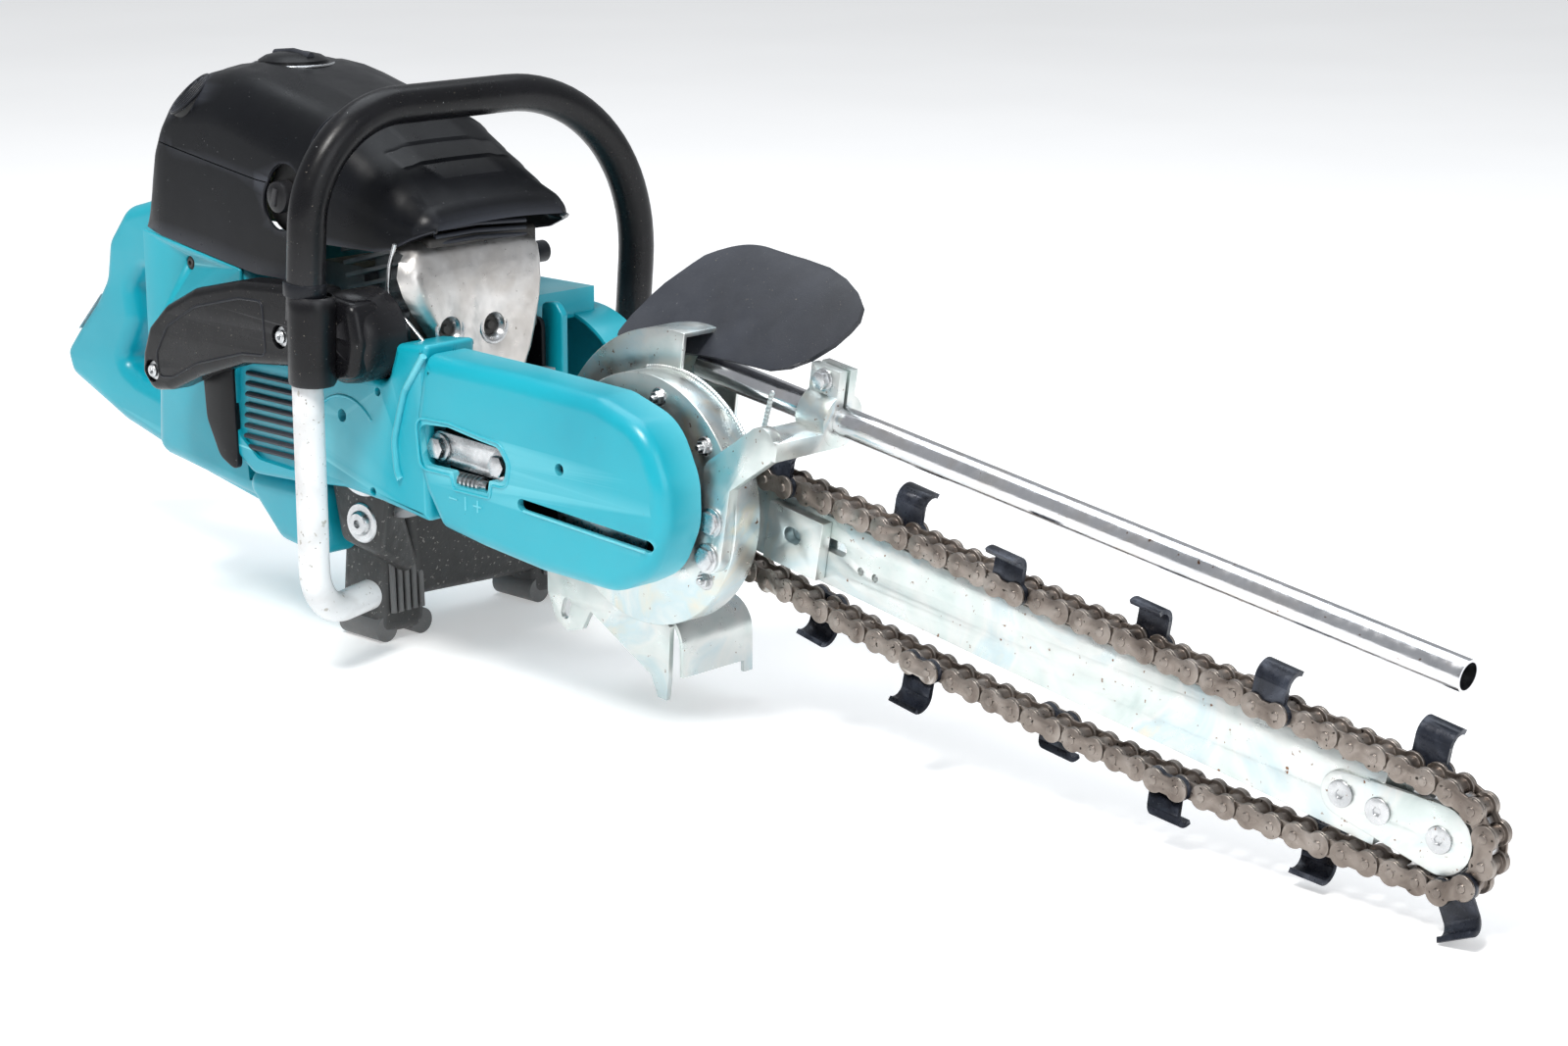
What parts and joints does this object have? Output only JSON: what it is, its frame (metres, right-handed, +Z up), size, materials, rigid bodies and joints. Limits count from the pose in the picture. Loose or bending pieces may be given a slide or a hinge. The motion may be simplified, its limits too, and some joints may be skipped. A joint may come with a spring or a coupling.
{
  "type": "handheld chain trencher",
  "caption": "Handheld trencher: two-stroke engine unit with belt arm drives a bar-guided roller chain with bent cutters; guard tube and rubber deflector above.",
  "frame": {"origin": "on the ground, at the middle of the right front foot's flat underside", "axes": "+X forward towards the nose of the trenching bar, +Y left, +Z up"},
  "size_m": [1.2862, 0.3355, 0.4046],
  "materials": {
    "teal_plastic": "satin",
    "black_plastic": "matte",
    "black_rubber": "matte",
    "zinc_plate": "satin",
    "chrome_tube": "polished",
    "chain_steel": "satin",
    "cutter_steel": "satin",
    "bright_steel": "satin",
    "cast_alloy": "rough",
    "white_tube": "satin",
    "muffler_steel": "satin",
    "dark_metal": "rough",
    "belt_rubber": "matte",
    "filter_foam": "rough"
  },
  "bodies": {
    "machine": {"guide_bar": "zinc_plate", "nose_plates": "zinc_plate", "nose_screws": "bright_steel", "shaft_bearings": "bright_steel", "drive_belt": "belt_rubber", "trencher_housing": "zinc_plate", "chain_shield": "zinc_plate", "deflector_flap": "black_rubber", "clamp_bracket": "zinc_plate", "hex_fasteners": "bright_steel", "bar_mount": "zinc_plate", "lower_guard": "zinc_plate", "belt_guard": "teal_plastic", "belt_arm": "cast_alloy", "tension_plate": "bright_steel", "crankcase": "cast_alloy", "engine_cylinder": "cast_alloy", "carburettor": "cast_alloy", "air_filter": "filter_foam", "muffler": "dark_metal", "muffler_guard": "muffler_steel", "engine_hood": "black_plastic", "filter_cover": "black_plastic", "rear_housing": "teal_plastic", "rear_handle": "teal_plastic", "front_handle": "black_rubber", "handle_bracket": "black_plastic", "cover_screws": "bright_steel", "lower_tube": "white_tube", "front_foot": "black_rubber", "starter_cover": "teal_plastic", "clutch_cover": "teal_plastic", "spark_plug": "white_tube"},
    "drive": {"drive_sprocket": "bright_steel", "drive_shaft": "bright_steel", "driven_pulley": "bright_steel", "chain_drive": "chain_steel", "cutter_drive": "cutter_steel"},
    "upper_run": {"chain_top": "chain_steel", "cutters_top": "cutter_steel"},
    "nose": {"nose_sprocket": "bright_steel", "chain_nose": "chain_steel", "cutter_nose": "cutter_steel"},
    "lower_run": {"chain_bottom": "chain_steel", "cutters_bottom": "cutter_steel"},
    "drum": {"clutch_drum": "bright_steel"},
    "crank": {"crankshaft": "bright_steel", "flywheel": "cast_alloy", "clutch_shoes": "dark_metal"},
    "piston": {"piston": "bright_steel"},
    "top_knob": {"top_knob": "black_plastic"},
    "decompression_button": {"decompression_button": "black_plastic"},
    "fuel_cap": {"fuel_cap": "black_plastic"},
    "trigger": {"throttle_trigger": "black_plastic"},
    "lock": {"throttle_lock": "black_plastic"},
    "stop_switch": {"stop_switch": "black_plastic"},
    "choke": {"choke_lever": "black_plastic"},
    "guard_tube": {"guard_tube": "chrome_tube"},
    "starter_grip": {"starter_grip": "black_plastic"},
    "tension_screw": {"tension_screw": "bright_steel"}
  },
  "joints": [
    {"name": "drive_turn", "type": "hinge", "parent": "machine", "child": "drive", "pos_m": [0.294, 0.036, 0.152], "axis": [0, 1, 0], "range_deg": [-9.34, 9.34]},
    {"name": "upper_run_slide", "type": "slide", "parent": "machine", "child": "upper_run", "axis": [0.9845, 0, -0.1756], "range_m": [-0.0051, 0.0051]},
    {"name": "nose_turn", "type": "hinge", "parent": "machine", "child": "nose", "pos_m": [0.86051, 0.036, 0.0535], "axis": [0, 1, 0], "range_deg": [-10.27, 10.27]},
    {"name": "lower_run_slide", "type": "slide", "parent": "machine", "child": "lower_run", "axis": [-0.986, 0, 0.167], "range_m": [-0.0051, 0.0051]},
    {"name": "drum_turn", "type": "hinge", "parent": "machine", "child": "drum", "pos_m": [0.054, -0.03, 0.152], "axis": [0, 1, 0], "range_deg": [-15.45, 15.45]},
    {"name": "crank_turn", "type": "hinge", "parent": "machine", "child": "crank", "pos_m": [0.054, 0.035, 0.152], "axis": [0, 1, 0], "continuous": true},
    {"name": "piston_slide", "type": "slide", "parent": "machine", "child": "piston", "axis": [-0.2588, 0, 0.9659], "range_m": [-0.022, 0.006]},
    {"name": "top_knob_turn", "type": "hinge", "parent": "machine", "child": "top_knob", "pos_m": [-0.113, 0.035, 0.382], "axis": [0, 0, 1], "range_deg": [0, 90]},
    {"name": "decompression_press", "type": "slide", "parent": "machine", "child": "decompression_button", "axis": [0, 1, 0], "range_m": [0, 0.005], "stiffness_N_per_m": 400, "springref_m": -0.002},
    {"name": "fuel_cap_turn", "type": "hinge", "parent": "machine", "child": "fuel_cap", "pos_m": [-0.106, 0.107, 0.142], "axis": [0, 1, 0], "range_deg": [-90, 0]},
    {"name": "throttle_pull", "type": "hinge", "parent": "machine", "child": "trigger", "pos_m": [-0.244, 0.035, 0.249], "axis": [0, 1, 0], "range_deg": [0, 14], "stiffness_Nm_per_rad": 0.6, "springref_deg": -5.73},
    {"name": "throttle_lock_press", "type": "hinge", "parent": "machine", "child": "lock", "pos_m": [-0.229, 0.035, 0.2715], "axis": [0, -1, 0], "range_deg": [0, 6], "stiffness_Nm_per_rad": 0.5, "springref_deg": -11.46},
    {"name": "stop_switch_slide", "type": "slide", "parent": "machine", "child": "stop_switch", "axis": [-1, 0, 0], "range_m": [0, 0.005]},
    {"name": "choke_pull", "type": "slide", "parent": "machine", "child": "choke", "axis": [-1, 0, 0], "range_m": [0, 0.01]},
    {"name": "guard_tube_slide", "type": "slide", "parent": "machine", "child": "guard_tube", "axis": [0.9881, 0, -0.1541], "range_m": [0, 0.06]},
    {"name": "starter_pull", "type": "slide", "parent": "machine", "child": "starter_grip", "axis": [0, 0, 1], "range_m": [0, 0.1], "stiffness_N_per_m": 20, "springref_m": -0.05},
    {"name": "tension_screw_turn", "type": "hinge", "parent": "machine", "child": "tension_screw", "pos_m": [0.154, -0.054, 0.15], "axis": [1, 0, 0], "continuous": true}
  ],
  "couplings": [
    {"joint": "upper_run_slide", "follows": "drive_turn", "m_per_rad": 0.030668},
    {"joint": "nose_turn", "follows": "drive_turn", "ratio": 1.0885},
    {"joint": "lower_run_slide", "follows": "drive_turn", "m_per_rad": 0.030668},
    {"joint": "drum_turn", "follows": "drive_turn", "ratio": 1.6429}
  ]
}
